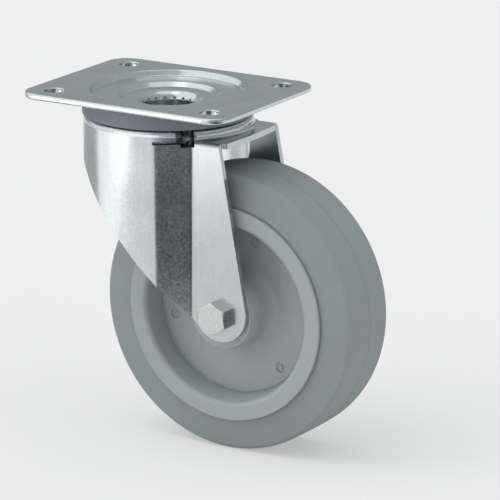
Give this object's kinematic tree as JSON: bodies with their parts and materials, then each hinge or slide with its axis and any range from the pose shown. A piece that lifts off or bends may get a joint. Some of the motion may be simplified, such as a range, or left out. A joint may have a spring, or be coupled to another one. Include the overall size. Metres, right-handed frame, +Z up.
{
  "type": "swivel castor",
  "caption": "Plate-mounted swivel castor with a pressed steel fork, ball race head and a rubber-tyred wheel on ball bearings.",
  "frame": {"origin": "on the swivel axis, at the centre of the bolt holes, on the plate's top face", "axes": "+Z up along the swivel axis, out of the plate's top face; +X from the swivel axis towards the trailing wheel; Y along the axle, the bolt's head at -Y"},
  "size_m": [0.155, 0.083, 0.155],
  "materials": {
    "plated_steel": "bright zinc plating on pressed sheet",
    "bright_steel": "bright zinc plating on turned and cold-headed steel",
    "ball_steel": "ground bearing steel",
    "grey_polymer": "moulded grey polymer, smooth",
    "rim_polymer": "moulded light grey polymer, satin",
    "grey_rubber": "moulded grey rubber, matt",
    "black_rubber": "moulded black seal rubber",
    "nylon": "white nylon ring"
  },
  "bodies": {
    "plate": {"top_plate": "plated_steel", "swivel_seal_ring": "grey_polymer", "lower_race_cup": "plated_steel"},
    "upper_balls": {"upper_swivel_balls": "ball_steel"},
    "lower_balls": {"lower_swivel_balls": "ball_steel"},
    "fork": {"fork": "plated_steel", "axle_bolt": "bright_steel", "axle_nut": "bright_steel", "nut_insert": "nylon", "bearing_spacer": "bright_steel", "end_spacer_left": "bright_steel", "end_spacer_right": "bright_steel", "bearing_inner_ring_left": "ball_steel", "bearing_inner_ring_right": "ball_steel"},
    "bearing_cages": {"bearing_balls_left": "ball_steel", "bearing_balls_right": "ball_steel", "bearing_cage_left": "bright_steel", "bearing_cage_right": "bright_steel"},
    "wheel": {"wheel_centre": "rim_polymer", "tyre": "grey_rubber", "bearing_outer_ring_left": "ball_steel", "bearing_outer_ring_right": "ball_steel", "bearing_seal_left_outer": "black_rubber", "bearing_seal_left_inner": "black_rubber", "bearing_seal_right_outer": "black_rubber", "bearing_seal_right_inner": "black_rubber"}
  },
  "joints": [
    {"name": "swivel", "type": "hinge", "parent": "plate", "child": "fork", "pos_m": [0, 0, 0], "axis": [0, 0, 1], "continuous": true},
    {"name": "upper_ball_orbit", "type": "hinge", "parent": "plate", "child": "upper_balls", "pos_m": [0, 0, 0], "axis": [0, 0, 1], "continuous": true},
    {"name": "lower_ball_orbit", "type": "hinge", "parent": "plate", "child": "lower_balls", "pos_m": [0, 0, 0], "axis": [0, 0, 1], "continuous": true},
    {"name": "wheel_spin", "type": "hinge", "parent": "fork", "child": "wheel", "pos_m": [0.04, 0, -0.0925], "axis": [0, 1, 0], "continuous": true},
    {"name": "cage_spin", "type": "hinge", "parent": "fork", "child": "bearing_cages", "pos_m": [0.04, 0, -0.0925], "axis": [0, 1, 0], "continuous": true}
  ],
  "couplings": [
    {"joint": "upper_ball_orbit", "follows": "swivel", "ratio": 0.5},
    {"joint": "lower_ball_orbit", "follows": "swivel", "ratio": 0.5},
    {"joint": "cage_spin", "follows": "wheel_spin", "ratio": 0.6294}
  ]
}
